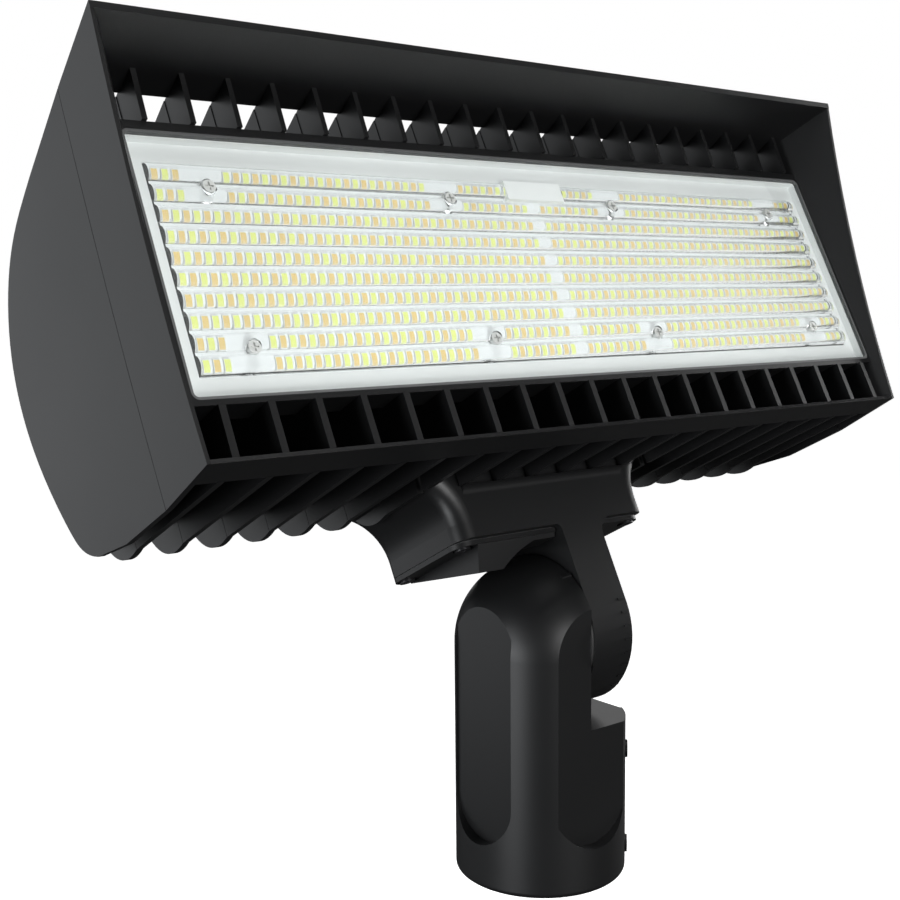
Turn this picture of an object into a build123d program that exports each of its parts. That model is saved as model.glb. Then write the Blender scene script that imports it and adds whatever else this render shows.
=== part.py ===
"""Slipfitter floodlight: a finned die-cast head with a glare visor on a tilting tenon mount.

Units are millimetres. The origin is the middle of the slipfitter's open mouth, +Z runs up
the tenon, X runs along the head and the light leaves towards -Y. The head is drawn upright
in its own frame, whose origin is the middle of the lens front, and is tilted back at the end.
"""

import os
from math import atan, degrees

from build123d import *

# Pose of the head
TILT = 27
HINGE_HEIGHT = 109.8
HINGE_Y = 82.3
HINGE_Z = -140.1

# Head envelope
SIDE_HALF = 200.9
SIDE_LEAN = 0.070
VISOR_FRONT = (-33.3, 83.5)
VISOR_REAR = (1.8, 75.4)
FRONT_MIDDLE = (-19.8, 15.1)
BAR_FRONT = (-10.0, -76.3)
SEAM_TOP = (4.7, 74.7)
SEAM_MIDDLE = (18.0, -10.2)
SEAM_BOTTOM = (25.6, -79.2)
WALL = 2.6
RIM = 1.5
CHEEK_SLOPE = 0.56
CHEEK_DEPTH = 30.0
LINING_WALL = 5.0
SEAM_GAP = 0.3

# Fins
FIN_PITCH = 19.28
FIN_COUNT = 20
FIN_THICKNESS = 2.8
FIN_REAR = 77.0
RIB_THICKNESS = 2.2

# Light chamber
CHAMBER_HALF = 192.8
CHAMBER_TOP = 52.2
CHAMBER_BOTTOM = -52.6
CHAMBER_CORNER = 3.0
CHAMBER_FLOOR = 3.8
TRAY_HALF = 196.0
TRAY_TOP = 55.4
TRAY_BOTTOM = -54.8
TRAY_REAR = 6.8
BEZEL_FRONT = -7.2
GLASS_FRONT = -6.8
GLASS_REAR = -3.0
SEAL_WIDTH = 1.2

# Light engine
LENS_HALF = 184.4
LENS_HEIGHT = 83.9
ROWS = 10
ROW_PITCH = LENS_HEIGHT / ROWS
RIDGE_RISE = 2.0
LENS_FACE = -0.3
LENS_BACK = 1.0
BOARD_FRONT = 1.9
BOARD_REAR = 3.5
CHIP = (2.8, 0.7, 3.5)
OUTER_CHIP_X = 181.0
LEFT_CHIPS = (43, 4.142)
RIGHT_CHIPS = (44, 4.126)
TRACK_THICKNESS = 0.1
LENS_SCREW_X = (-161.5, -49.0, 47.0, 161.5)
LENS_SCREW_Z = 32.3
LENS_SCREW_HEAD = 2.6
LENS_BOSS = 3.0
CONNECTOR = (33.0, 2.6, 13.0)
CONNECTOR_Z = 39.5
PAD_HALF_Z = 41.5

# Driver and wiring boxes
DRIVER_HALF = 115.0
DRIVER_FRONT = 59.0
DRIVER_REAR = 106.0
DRIVER_TOP = 14.0
DRIVER_BOTTOM = -46.0
WEB_FRONT = 84.0
WEB_REAR = 87.5
POD_HALF = 56.0
POD_REAR = 107.0
POD_BOTTOM = -100.0
POD_ROOF = -49.0
POD_CORNER = 8.0
POD_FRONT_WALL = 6.6
FLARE_RADIUS = 23.5
FLARE_FOOT = -93.0
FLARE_TOP = -66.0
BOX_WALL = 3.0

# Arm and knuckle
ARM_LEFT = 0.4
ARM_RIGHT = 23.8
DRUM_RADIUS = 35.0
POD_FRONT = HINGE_Y - DRUM_RADIUS
EAR_RADIUS = 39.0
EAR_CENTRE = 106.0
EAR_FACE = -0.4
LEDGE = 71.8
FACET_DEPTH = 33.4
FACET_HALVES = (22.5, 18.5)
FACET_BOTTOM = 20.0
BORE_RADIUS = 31.0
BORE_DEPTH = 66.0
RELIEF_RADIUS = 48.2
PIVOT_RADIUS = 6.0
GROOVE = (14.0, 28.0, 9.0)
WIREWAY_Y = 66.0
WIREWAY_X = 7.4
WIREWAY_RADIUS = 5.0
EAR_WAY_X = -14.0
EAR_WAY_RADIUS = 6.5
EAR_WAY_Z = 88.0
SET_SCREW_RADIUS = 4.0
SET_SCREW_LENGTH = 8.5
SET_SCREW_Z = (11.0, 56.0)
SET_SCREW_AZIMUTH = (-45, 45)

HEAD = Pos(0, 0, HINGE_HEIGHT) * Rot(-TILT, 0, 0) * Pos(0, -HINGE_Y, -HINGE_Z)
HINGE_PLANE = Plane((0, HINGE_Y, HINGE_Z), x_dir=(0, 1, 0), z_dir=(1, 0, 0))
FIN_X = [FIN_PITCH * (index - (FIN_COUNT - 1) / 2) for index in range(FIN_COUNT)]


def side_half(z):
    """Half width of the head at height z, which leans outwards towards the top."""
    return SIDE_HALF + SIDE_LEAN * z


def slab(points, half, middle=0.0):
    """Solid from a closed outline in Y and Z, extruded along X about the middle."""
    with BuildPart() as piece:
        with BuildSketch(Plane.YZ.offset(middle)):
            with BuildLine():
                Polyline(*points, close=True)
            make_face()
        extrude(amount=half, both=True)
    return piece.part


def block(x0, x1, y0, y1, z0, z1):
    """Box between two corners."""
    with BuildPart() as piece:
        with Locations(((x0 + x1) / 2, (y0 + y1) / 2, (z0 + z1) / 2)):
            Box(x1 - x0, y1 - y0, z1 - z0)
    return piece.part


def twin_blocks(x0, x1, y0, y1, z0, z1):
    """The same box on both sides of the middle."""
    with BuildPart() as pair:
        add(block(x0, x1, y0, y1, z0, z1))
        mirror(about=Plane.YZ)
    return pair.part


def wedge(inset, y0, y1, z0=-130.0, z1=110.0):
    """Everything between the two leaning sides, drawn in by the inset."""
    with BuildPart() as piece:
        with BuildSketch(Plane.XZ.offset(-y0)):
            with BuildLine():
                Polyline(
                    (side_half(z0) - inset, z0),
                    (side_half(z1) - inset, z1),
                    (inset - side_half(z1), z1),
                    (inset - side_half(z0), z0),
                    close=True,
                )
            make_face()
        extrude(amount=-(y1 - y0))
    return piece.part


def save(part, label, place=HEAD):
    """Write one piece as a STEP file under its own name."""
    moved = part.moved(place)
    moved.label = label
    export_step(moved, f"parts/{label}.step")


def rod(x, z, radius, y0, y1):
    """Round bar along Y."""
    with BuildPart() as piece:
        with BuildSketch(Plane.XZ.offset(-y0)):
            with Locations((x, z)):
                Circle(radius)
        extrude(amount=-(y1 - y0))
    return piece.part


os.makedirs("parts", exist_ok=True)

# Front housing: visor, cheeks, light chamber and fins in one casting

SIDE_PLANE = Plane((SIDE_HALF, 0, 0), x_dir=(0, 1, 0), z_dir=(1, 0, -SIDE_LEAN))


def shifted(point, setback):
    """Point of a side outline moved towards the rear."""
    return (point[0] + setback, point[1])


def end_plate(setback, thickness):
    """Right end wall ahead of the seam, starting behind its front edge by the setback."""
    with BuildPart() as piece:
        with BuildSketch(SIDE_PLANE):
            with BuildLine():
                ThreePointArc(
                    shifted(VISOR_FRONT, setback),
                    shifted(FRONT_MIDDLE, setback),
                    shifted(BAR_FRONT, setback),
                )
                Polyline(
                    shifted(BAR_FRONT, setback),
                    (setback + BAR_FRONT[0], -90),
                    (60, -90),
                    (60, 95),
                    (setback + VISOR_FRONT[0], 95),
                    shifted(VISOR_FRONT, setback),
                )
            make_face()
        extrude(amount=-thickness)
    return piece.part


def cheek_lining():
    """Slanted inner face of the right end wall, from its thin rim towards the light."""
    with BuildPart() as piece:
        with BuildSketch(SIDE_PLANE.offset(-RIM)):
            with BuildLine():
                ThreePointArc(VISOR_FRONT, FRONT_MIDDLE, BAR_FRONT)
                Line(BAR_FRONT, shifted(BAR_FRONT, LINING_WALL))
                ThreePointArc(
                    shifted(BAR_FRONT, LINING_WALL),
                    shifted(FRONT_MIDDLE, LINING_WALL),
                    shifted(VISOR_FRONT, LINING_WALL),
                )
                Line(shifted(VISOR_FRONT, LINING_WALL), VISOR_FRONT)
            make_face()
        inwards = Vector(-CHEEK_SLOPE, 1, 0)
        extrude(amount=CHEEK_DEPTH * inwards.length, dir=inwards.normalized())
    return piece.part


def side_slab():
    """Solid wider than the head, bounded by the side outline ahead of the seam."""
    with BuildPart() as piece:
        with BuildSketch(Plane.YZ):
            with BuildLine():
                ThreePointArc(VISOR_FRONT, FRONT_MIDDLE, BAR_FRONT)
                Line(BAR_FRONT, SEAM_BOTTOM)
                ThreePointArc(SEAM_BOTTOM, SEAM_MIDDLE, SEAM_TOP)
                Line(SEAM_TOP, VISOR_FRONT)
            make_face()
        extrude(amount=230, both=True)
    return piece.part


with BuildPart() as cheeks:
    add(end_plate(0.0, RIM))
    add(end_plate(3.0, WALL))
    add(cheek_lining())
    mirror(about=Plane.YZ)
    add(side_slab(), mode=Mode.INTERSECT)
    add(wedge(WALL, -3.2, 60), mode=Mode.SUBTRACT)

bar_slope = (SEAM_BOTTOM[1] - BAR_FRONT[1]) / (SEAM_BOTTOM[0] - BAR_FRONT[0])
BAR_REAR = 6.0
BAR_THICKNESS = 2.8
visor_outline = [
    VISOR_FRONT,
    VISOR_REAR,
    (VISOR_REAR[0] + 0.4, VISOR_REAR[1] - 2.2),
    (VISOR_FRONT[0] + 0.4, VISOR_FRONT[1] - WALL),
]
bar_outline = [
    BAR_FRONT,
    (BAR_REAR, BAR_FRONT[1] + bar_slope * (BAR_REAR - BAR_FRONT[0])),
    (BAR_REAR, BAR_FRONT[1] + bar_slope * (BAR_REAR - BAR_FRONT[0]) + BAR_THICKNESS),
    (BAR_FRONT[0] + 1.3, BAR_FRONT[1] + 2.0),
]
fin_outline = [
    (SEAM_TOP[0], TRAY_BOTTOM + 0.8),
    (-8.0, TRAY_BOTTOM),
    (-8.0, -75.5),
    (BAR_REAR, -77.7),
    (FIN_REAR, -77.3),
    (FIN_REAR, 51.0),
    (44.9, 62.4),
    (SEAM_TOP[0], 73.4),
]
rib_outline = [
    (-8.8, TRAY_TOP - 0.1),
    (-9.8, 77.0),
    (VISOR_REAR[0], 74.4),
    (TRAY_REAR - 0.5, 72.9),
    (TRAY_REAR - 0.5, TRAY_TOP - 0.4),
]
central = [x for x in FIN_X if abs(x) < POD_HALF + 2]
boxed = [x for x in FIN_X if abs(x) < DRIVER_HALF + 3]

FLARE_HALF = FIN_X[-7] + FIN_THICKNESS / 2

LEAD_START = (5.0, 39.5)
LEAD_END = (60.0, 3.0)
LEAD_BORE = 5.0
BOSS_X = [FIN_X[2] + FIN_PITCH / 2, -FIN_X[2] - FIN_PITCH / 2]
BOSS_Z = (-60.0, 30.0)
TOP_BOSS_X = (-FIN_PITCH, FIN_PITCH)
TOP_BOSS_Z = 34.0


def lead_tube(radius, overrun=6.0):
    """Slanted round bar along the path of the light engine's lead."""
    start = Vector(0, *LEAD_START)
    path = Vector(0, *LEAD_END) - start
    with BuildPart() as piece:
        with BuildSketch(Plane(start - path.normalized() * overrun, x_dir=(1, 0, 0), z_dir=path)):
            Circle(radius)
        extrude(amount=path.length + 2 * overrun)
    return piece.part


DUCT_END = 52.5
with BuildPart() as duct:
    add(lead_tube(FIN_PITCH / 2, 12.0))
    add(block(-12, 12, TRAY_REAR - 1.0, DUCT_END, -20, 60), mode=Mode.INTERSECT)
duct_front = duct.part

with BuildPart() as front_housing:
    add(slab(visor_outline, 230))
    add(slab(bar_outline, 230))
    for fin_x in FIN_X:
        add(slab(fin_outline, FIN_THICKNESS / 2, fin_x))
        add(slab(rib_outline, RIB_THICKNESS / 2, fin_x))
    add(block(-TRAY_HALF, TRAY_HALF, BEZEL_FRONT, TRAY_REAR, TRAY_BOTTOM, TRAY_TOP))
    add(wedge(0.0, -60, 120), mode=Mode.INTERSECT)
    add(cheeks.part)
    # Stop the fins in front of the driver box and the wiring box
    add(
        block(
            -DRIVER_HALF - 2.0,
            DRIVER_HALF + 2.0,
            DRIVER_FRONT - 1.0,
            FIN_REAR + 1,
            DRIVER_BOTTOM - 2.0,
            DRIVER_TOP + 2.0,
        ),
        mode=Mode.SUBTRACT,
    )
    add(
        block(-POD_HALF - 1.5, POD_HALF + 1.5, POD_FRONT - 1.0, FIN_REAR + 1, -90, DRIVER_TOP + 2.0),
        mode=Mode.SUBTRACT,
    )
    add(
        block(-FLARE_HALF - 0.4, FLARE_HALF + 0.4, POD_FRONT - 1.0, FIN_REAR + 1, -90, FLARE_TOP + 0.4),
        mode=Mode.SUBTRACT,
    )
    # Screw posts for the rear housing and the duct for the light engine's lead
    for post_x in BOSS_X:
        for post_z in BOSS_Z:
            add(rod(post_x, post_z, FIN_PITCH / 2, 40.0, FIN_REAR))
    for post_x in TOP_BOSS_X:
        add(rod(post_x, TOP_BOSS_Z, FIN_PITCH / 2, 40.0, FIN_REAR))
    add(duct_front)
    # Recess for the glass, the reflector and the light engine
    with BuildSketch(Plane.XZ.offset(-CHAMBER_FLOOR)):
        with Locations((0, (CHAMBER_TOP + CHAMBER_BOTTOM) / 2)):
            RectangleRounded(2 * CHAMBER_HALF, CHAMBER_TOP - CHAMBER_BOTTOM, CHAMBER_CORNER)
    extrude(amount=60, mode=Mode.SUBTRACT)
    # Threaded holes in the posts and the duct's bore
    for post_x in BOSS_X:
        for post_z in BOSS_Z:
            add(rod(post_x, post_z, 2.5, FIN_REAR - 16, FIN_REAR + 1), mode=Mode.SUBTRACT)
    for post_x in TOP_BOSS_X:
        add(rod(post_x, TOP_BOSS_Z, 2.5, FIN_REAR - 16, FIN_REAR + 1), mode=Mode.SUBTRACT)
    add(lead_tube(LEAD_BORE), mode=Mode.SUBTRACT)
    # Threaded holes for the light engine's screws
    for hole_x in LENS_SCREW_X:
        for hole_z in (-LENS_SCREW_Z, LENS_SCREW_Z):
            add(rod(hole_x, hole_z, 5.0, TRAY_REAR - 1, TRAY_REAR + 4.0))
            add(rod(hole_x, hole_z, 1.6, 0, TRAY_REAR + 3.0), mode=Mode.SUBTRACT)

save(front_housing.part, "front_housing")


# Rear housing: end walls, rear fins, driver box, wiring box, arm and drum in one casting

PLATE_BACK = [
    (44.9, 63.8),
    (77.3, 52.0),
    (97.0, 36.0),
    (110.0, 15.0),
    (114.9, -7.0),
    (112.6, -34.0),
    (104.5, -59.5),
    (87.5, -75.4),
]
FIN_BACK = [
    (77.3, 51.0),
    (97.0, 35.0),
    (109.0, 14.0),
    (113.5, -7.0),
    (112.0, -34.0),
    (108.0, -57.0),
    (98.5, -72.8),
    (77.3, -77.3),
]


def end_walls():
    """Both end walls behind the seam, cut to the head's side outline."""
    with BuildPart() as piece:
        with BuildSketch(Plane.YZ):
            with BuildLine():
                Line((SEAM_TOP[0] + SEAM_GAP, SEAM_TOP[1] - 0.1), PLATE_BACK[0])
                Spline(*PLATE_BACK, tangents=[(1, -0.3), (-1, -0.35)])
                Line(PLATE_BACK[-1], (62.0, -79.1))
                Line((62.0, -79.1), (SEAM_BOTTOM[0] + SEAM_GAP, SEAM_BOTTOM[1]))
                ThreePointArc(
                    shifted(SEAM_BOTTOM, SEAM_GAP),
                    shifted(SEAM_MIDDLE, SEAM_GAP),
                    (SEAM_TOP[0] + SEAM_GAP, SEAM_TOP[1] - 0.1),
                )
            make_face()
        extrude(amount=230, both=True)
        add(wedge(0.0, -60, 140), mode=Mode.INTERSECT)
        add(wedge(WALL, -60, 140), mode=Mode.SUBTRACT)
    return piece.part


def rear_fin(x, points):
    """One fin of the rear housing."""
    with BuildPart() as piece:
        with BuildSketch(Plane.YZ.offset(x)):
            with BuildLine():
                Spline(*points)
                Line(points[-1], points[0])
            make_face()
        extrude(amount=FIN_THICKNESS / 2, both=True)
    return piece.part


TOP_FIN_BACK = [(77.3, 51.0), (97.0, 35.0), (107.0, 18.5)]
PLUG_LEFT = ARM_LEFT - 4.4
PLUG_RIGHT = ARM_RIGHT + 4.4
WIRING_SCREW_X = 49.8
WIRING_SCREW_Y = (57.0, 101.0)
DRIVER_SCREW_X = (-109.5, -37.0, 37.0, 109.5)
DRIVER_SCREW_Z = (DRIVER_BOTTOM + 5.5, DRIVER_TOP - 5.5)
PASS_X = 12.1
PASS_Y = 90.0
PASS_RADIUS = 7.0

FLARE_TIP = POD_HALF + FLARE_RADIUS
FLARE_BEND = FLARE_RADIUS * 0.5 ** 0.5
ARC_DEPTH = 1 - 0.5 ** 0.5

# Wiring box with rounded corners, flaring out where it meets the fins
with BuildPart() as pod:
    with BuildSketch(Plane.XZ.offset(-POD_FRONT)):
        with BuildLine():
            for side in (-1, 1):
                Line((side * POD_HALF, POD_BOTTOM), (side * POD_HALF, FLARE_FOOT))
                ThreePointArc(
                    (side * POD_HALF, FLARE_FOOT),
                    (side * (FLARE_TIP - FLARE_BEND), FLARE_FOOT + FLARE_BEND),
                    (side * FLARE_TIP, FLARE_FOOT + FLARE_RADIUS),
                )
                Polyline(
                    (side * FLARE_TIP, FLARE_FOOT + FLARE_RADIUS),
                    (side * 95, FLARE_FOOT + FLARE_RADIUS),
                    (side * 95, DRIVER_BOTTOM),
                )
            Line((-POD_HALF, POD_BOTTOM), (POD_HALF, POD_BOTTOM))
            Line((-95, DRIVER_BOTTOM), (95, DRIVER_BOTTOM))
        make_face()
    extrude(amount=-(POD_REAR - POD_FRONT))
    rounded = [
        edge
        for face in (pod.faces().sort_by(Axis.Y)[0], pod.faces().sort_by(Axis.Y)[-1])
        for edge in face.edges()
        if POD_BOTTOM + 1 < edge.center().Z < FLARE_TOP and abs(edge.center().X) < 94
    ]
    fillet(rounded, radius=POD_CORNER)
    add(
        twin_blocks(FLARE_HALF, 100, POD_FRONT - 1, FIN_REAR + SEAM_GAP, -110, 0),
        mode=Mode.SUBTRACT,
    )
    add(twin_blocks(POD_HALF, 100, POD_FRONT - 1, POD_REAR + 1, FLARE_TOP, 0), mode=Mode.SUBTRACT)
    add(twin_blocks(FLARE_TIP, 100, POD_FRONT - 1, POD_REAR + 1, -110, 0), mode=Mode.SUBTRACT)
    # Stubs of the two fins that end in the flare
    add(
        twin_blocks(
            FLARE_HALF - FIN_THICKNESS,
            FLARE_HALF,
            POD_FRONT + 3,
            FIN_REAR + SEAM_GAP,
            -77.3,
            FLARE_TOP,
        )
    )

# Small hollow round where the box's front turns forwards under the fins
TOE_RADIUS = 3.4
with BuildPart() as pod_toe:
    with BuildSketch(Plane.YZ):
        with BuildLine():
            toe_foot = (POD_FRONT, -77.7 - TOE_RADIUS)
            toe_tip = (POD_FRONT - TOE_RADIUS, -77.7)
            ThreePointArc(
                toe_foot,
                (POD_FRONT - TOE_RADIUS * ARC_DEPTH, -77.7 - TOE_RADIUS * ARC_DEPTH),
                toe_tip,
            )
            Line(toe_tip, (POD_FRONT + 1, -77.7))
            Line((POD_FRONT + 1, -77.7), (POD_FRONT + 1, -77.7 - TOE_RADIUS))
            Line((POD_FRONT + 1, -77.7 - TOE_RADIUS), toe_foot)
        make_face()
    extrude(amount=POD_HALF - POD_CORNER, both=True)

arm_outline = [
    (HINGE_Y - DRUM_RADIUS, -90.0),
    (92.0, -96.0),
    (109.2, -117.7),
    (HINGE_Y, HINGE_Z),
    (HINGE_Y - DRUM_RADIUS, HINGE_Z),
]
ARM_MIDDLE = (ARM_LEFT + ARM_RIGHT) / 2
ARM_HALF = (ARM_RIGHT - ARM_LEFT) / 2


def arm_round(x, radius, side):
    """Hollow round between the box's front wall and one side of the arm."""
    foot = x + side * radius
    root = x - side * 2.0
    with BuildPart() as piece:
        with BuildSketch(Plane.XZ.offset(-POD_FRONT)):
            with BuildLine():
                ThreePointArc(
                    (foot, POD_BOTTOM),
                    (x + side * radius * ARC_DEPTH, POD_BOTTOM - radius * ARC_DEPTH),
                    (x, POD_BOTTOM - radius),
                )
                Polyline(
                    (x, POD_BOTTOM - radius),
                    (root, POD_BOTTOM - radius),
                    (root, POD_BOTTOM + BOX_WALL),
                    (foot, POD_BOTTOM + BOX_WALL),
                    (foot, POD_BOTTOM),
                )
            make_face()
        extrude(amount=-BOX_WALL)
    return piece.part


# Spigot that meets the lead duct of the front housing
with BuildPart() as spigot:
    add(lead_tube(FIN_PITCH / 2 - 0.4, 12.0))
    add(block(-12, 12, DUCT_END + 0.8, DRIVER_FRONT + 1, -20, DRIVER_TOP), mode=Mode.INTERSECT)

with BuildPart() as rear_housing:
    add(end_walls())
    add(wedge(WALL - 0.6, WEB_FRONT, WEB_REAR, -66.0, 46.0))
    for fin_x in FIN_X:
        if fin_x in central:
            add(rear_fin(fin_x, TOP_FIN_BACK))
        else:
            add(rear_fin(fin_x, FIN_BACK))
    add(
        block(-DRIVER_HALF - 1.5, DRIVER_HALF + 1.5, WEB_REAR, 130, DRIVER_BOTTOM - 1.5, DRIVER_TOP + 1.5),
        mode=Mode.SUBTRACT,
    )
    add(block(-DRIVER_HALF, DRIVER_HALF, DRIVER_FRONT, DRIVER_REAR, DRIVER_BOTTOM, DRIVER_TOP))
    add(pod.part)
    add(pod_toe.part)
    for post_x in BOSS_X:
        for post_z in BOSS_Z:
            add(rod(post_x, post_z, FIN_PITCH / 2, FIN_REAR + SEAM_GAP, WEB_FRONT))
    for post_x in TOP_BOSS_X:
        add(rod(post_x, TOP_BOSS_Z, FIN_PITCH / 2, FIN_REAR + SEAM_GAP, WEB_FRONT))
    # Hollow of the driver box, then of the wiring box beside the arm's root
    add(
        block(
            BOX_WALL - DRIVER_HALF,
            DRIVER_HALF - BOX_WALL,
            DRIVER_FRONT + BOX_WALL,
            DRIVER_REAR + 1,
            DRIVER_BOTTOM + BOX_WALL,
            DRIVER_TOP - BOX_WALL,
        ),
        mode=Mode.SUBTRACT,
    )
    with BuildSketch(Plane.XY.offset(POD_BOTTOM - 1)):
        with Locations((0, (POD_FRONT + POD_FRONT_WALL + POD_REAR - BOX_WALL) / 2)):
            RectangleRounded(
                2 * (POD_HALF - BOX_WALL),
                POD_REAR - BOX_WALL - POD_FRONT - POD_FRONT_WALL,
                POD_CORNER - BOX_WALL,
            )
    extrude(amount=POD_ROOF - POD_BOTTOM + 1, mode=Mode.SUBTRACT)
    add(block(PLUG_LEFT, PLUG_RIGHT, POD_FRONT, POD_REAR, POD_BOTTOM, -86.0))
    add(spigot.part)
    add(lead_tube(LEAD_BORE, 8.0), mode=Mode.SUBTRACT)
    # Arm and drum
    add(slab(arm_outline, ARM_HALF, ARM_MIDDLE))
    add(arm_round(ARM_LEFT, 3.0, -1))
    add(arm_round(ARM_RIGHT, 8.0, 1))
    with BuildSketch(HINGE_PLANE.offset(ARM_LEFT)):
        Circle(DRUM_RADIUS)
    extrude(amount=ARM_RIGHT - ARM_LEFT)
    with BuildSketch(HINGE_PLANE.offset(ARM_LEFT - 1)):
        Circle(PIVOT_RADIUS + 0.1)
    extrude(amount=ARM_RIGHT - ARM_LEFT + 2, mode=Mode.SUBTRACT)
    # Wireway: a ring groove in the drum's face and a channel from it up through the arm
    with BuildSketch(HINGE_PLANE.offset(ARM_LEFT - 0.1)):
        Circle(GROOVE[1])
        Circle(GROOVE[0], mode=Mode.SUBTRACT)
    extrude(amount=GROOVE[2] + 0.1, mode=Mode.SUBTRACT)
    with BuildSketch(Plane.XY.offset(-80.0)):
        with Locations((WIREWAY_X, WIREWAY_Y)):
            Circle(WIREWAY_RADIUS)
    extrude(amount=-46.0, mode=Mode.SUBTRACT)
    # Screw holes for the driver, then the screw columns in both boxes
    for side in (-1, 1):
        add(rod(side * 99, -16.5, 2.0, 59.8, 63.0), mode=Mode.SUBTRACT)
    for post_x in DRIVER_SCREW_X:
        for post_z in DRIVER_SCREW_Z:
            add(rod(post_x, post_z, 4.6, DRIVER_FRONT + 1, DRIVER_REAR))
            add(rod(post_x, post_z, 1.8, DRIVER_REAR - 14, DRIVER_REAR + 1), mode=Mode.SUBTRACT)
    for post_x in (-WIRING_SCREW_X, WIRING_SCREW_X):
        for post_y in WIRING_SCREW_Y:
            with BuildSketch(Plane.XY.offset(POD_BOTTOM)):
                with Locations((post_x, post_y)):
                    Circle(4.6)
            extrude(amount=16.0)
            with BuildSketch(Plane.XY.offset(POD_BOTTOM)):
                with Locations((post_x, post_y)):
                    Circle(1.8)
            extrude(amount=13.0, mode=Mode.SUBTRACT)
    # Clearance holes for the screws into the front housing
    for post_x in BOSS_X:
        for post_z in BOSS_Z:
            add(rod(post_x, post_z, 2.8, FIN_REAR, WEB_REAR + 1), mode=Mode.SUBTRACT)
    for post_x in TOP_BOSS_X:
        add(rod(post_x, TOP_BOSS_Z, 2.8, FIN_REAR, WEB_REAR + 1), mode=Mode.SUBTRACT)
    # Passage between the two boxes
    with BuildSketch(Plane.XY.offset(POD_ROOF - 1)):
        with Locations((PASS_X, PASS_Y)):
            Circle(PASS_RADIUS)
    extrude(amount=8.0, mode=Mode.SUBTRACT)
    # Angle marks on the drum's rim
    for step in range(9):
        angle = 180 + TILT - 40 + 10 * step
        with BuildSketch(HINGE_PLANE.offset(ARM_RIGHT - 5.0)):
            with PolarLocations(DRUM_RADIUS, 1, start_angle=angle):
                Rectangle(1.0, 0.9)
        extrude(amount=4.2)

save(rear_housing.part, "rear_housing")


# Light engine, from the chamber floor outwards

with BuildPart() as thermal_pads:
    for x0, x1 in ((-LENS_HALF + 2, -6.0), (6.0, LENS_HALF - 2)):
        add(block(x0, x1, BOARD_REAR, CHAMBER_FLOOR, -PAD_HALF_Z, PAD_HALF_Z))
    for hole_x in LENS_SCREW_X:
        for hole_z in (-LENS_SCREW_Z, LENS_SCREW_Z):
            add(rod(hole_x, hole_z, 3.0, BOARD_REAR - 1, CHAMBER_FLOOR + 1), mode=Mode.SUBTRACT)
save(thermal_pads.part, "thermal_pads")


# Aluminium-core board with its screw holes and the notch for the lead
with BuildPart() as led_board:
    add(block(-LENS_HALF, LENS_HALF, BOARD_FRONT, BOARD_REAR, -LENS_HEIGHT / 2, LENS_HEIGHT / 2))
    for hole_x in LENS_SCREW_X:
        for hole_z in (-LENS_SCREW_Z, LENS_SCREW_Z):
            add(rod(hole_x, hole_z, 1.8, 0, 6), mode=Mode.SUBTRACT)
    add(block(-5.4, 5.4, 0, 6, 33.5, 60), mode=Mode.SUBTRACT)
save(led_board.part, "led_board")


def chip_runs(row_z):
    """X places of one row's chips, as unbroken runs between screws, middle and connector."""
    runs = []
    for side, (count, pitch) in ((-1, LEFT_CHIPS), (1, RIGHT_CHIPS)):
        run = []
        for column in range(count):
            chip_x = side * (OUTER_CHIP_X - pitch * column)
            near_screw = any(
                abs(chip_x - hole_x) < 8.0 and abs(abs(row_z) - LENS_SCREW_Z) < 6.5
                for hole_x in LENS_SCREW_X
            )
            near_connector = abs(chip_x) < 19 and abs(row_z - CONNECTOR_Z) < 6
            if near_screw or near_connector:
                runs.append(run)
                run = []
            else:
                run.append(chip_x)
        runs.append(run)
    return [run for run in runs if run]


def comb(run):
    """Outline of one run of chips on its copper track, seen from above."""
    track_face = BOARD_FRONT - TRACK_THICKNESS
    chip_face = BOARD_FRONT - CHIP[1]
    points = []
    for chip_x in sorted(run):
        left = chip_x - CHIP[0] / 2
        right = chip_x + CHIP[0] / 2
        points += [(left, track_face), (left, chip_face), (right, chip_face), (right, track_face)]
    return [(points[0][0], BOARD_FRONT), *points[1:-1], (points[-1][0], BOARD_FRONT)]


with BuildPart() as led_chips:
    for row in range(ROWS):
        row_z = ROW_PITCH * (row - (ROWS - 1) / 2)
        with BuildSketch(Plane.XY.offset(row_z - CHIP[2] / 2)):
            for run in chip_runs(row_z):
                with BuildLine():
                    Polyline(*comb(run), close=True)
                make_face()
        extrude(amount=CHIP[2])
save(led_chips.part, "led_chips")


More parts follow.
